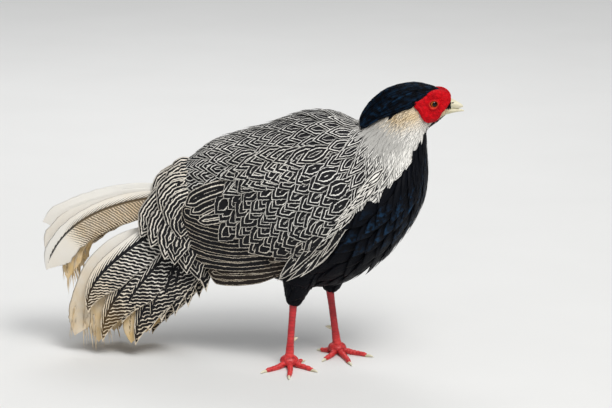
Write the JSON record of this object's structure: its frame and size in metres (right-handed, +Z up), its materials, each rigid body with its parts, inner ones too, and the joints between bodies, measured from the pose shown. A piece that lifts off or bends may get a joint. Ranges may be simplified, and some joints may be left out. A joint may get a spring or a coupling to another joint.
{
  "type": "silver pheasant",
  "caption": "Cock silver pheasant, life size, standing still with lined white upper plumage, blue-black crest and breast, bare red face, red legs and a long drooping tail.",
  "frame": {"origin": "on the floor, under the middle of the bird's length and width", "axes": "+X the way the bird faces, +Y to its left, +Z up"},
  "size_m": [0.5412, 0.1794, 0.3619],
  "materials": {
    "plumage_white": "matte",
    "plumage_black": "satin",
    "face_skin": "velvety",
    "leg_skin": "scaly satin",
    "horn": "satin",
    "eye": "wet gloss"
  },
  "bodies": {
    "root": {"bill_lower": "horn", "bill_upper": "horn", "claw_left_hind": "horn", "claw_left_inner": "horn", "claw_left_middle": "horn", "claw_left_outer": "horn", "claw_right_hind": "horn", "claw_right_inner": "horn", "claw_right_middle": "horn", "claw_right_outer": "horn", "crest": "plumage_black", "eye_left": "eye", "eye_right": "eye", "face_left": "face_skin", "face_right": "face_skin", "foot_left": "leg_skin", "foot_right": "leg_skin", "head": "plumage_white", "neck": "plumage_white", "shank_left": "leg_skin", "shank_right": "leg_skin", "tail_left": "plumage_white", "tail_right": "plumage_white", "thigh_left": "plumage_black", "thigh_right": "plumage_black", "toe_left_hind": "leg_skin", "toe_left_inner": "leg_skin", "toe_left_middle": "leg_skin", "toe_left_outer": "leg_skin", "toe_right_hind": "leg_skin", "toe_right_inner": "leg_skin", "toe_right_middle": "leg_skin", "toe_right_outer": "leg_skin", "torso": "plumage_black", "wing_left": "plumage_white", "wing_right": "plumage_white"}
  },
  "joints": []
}
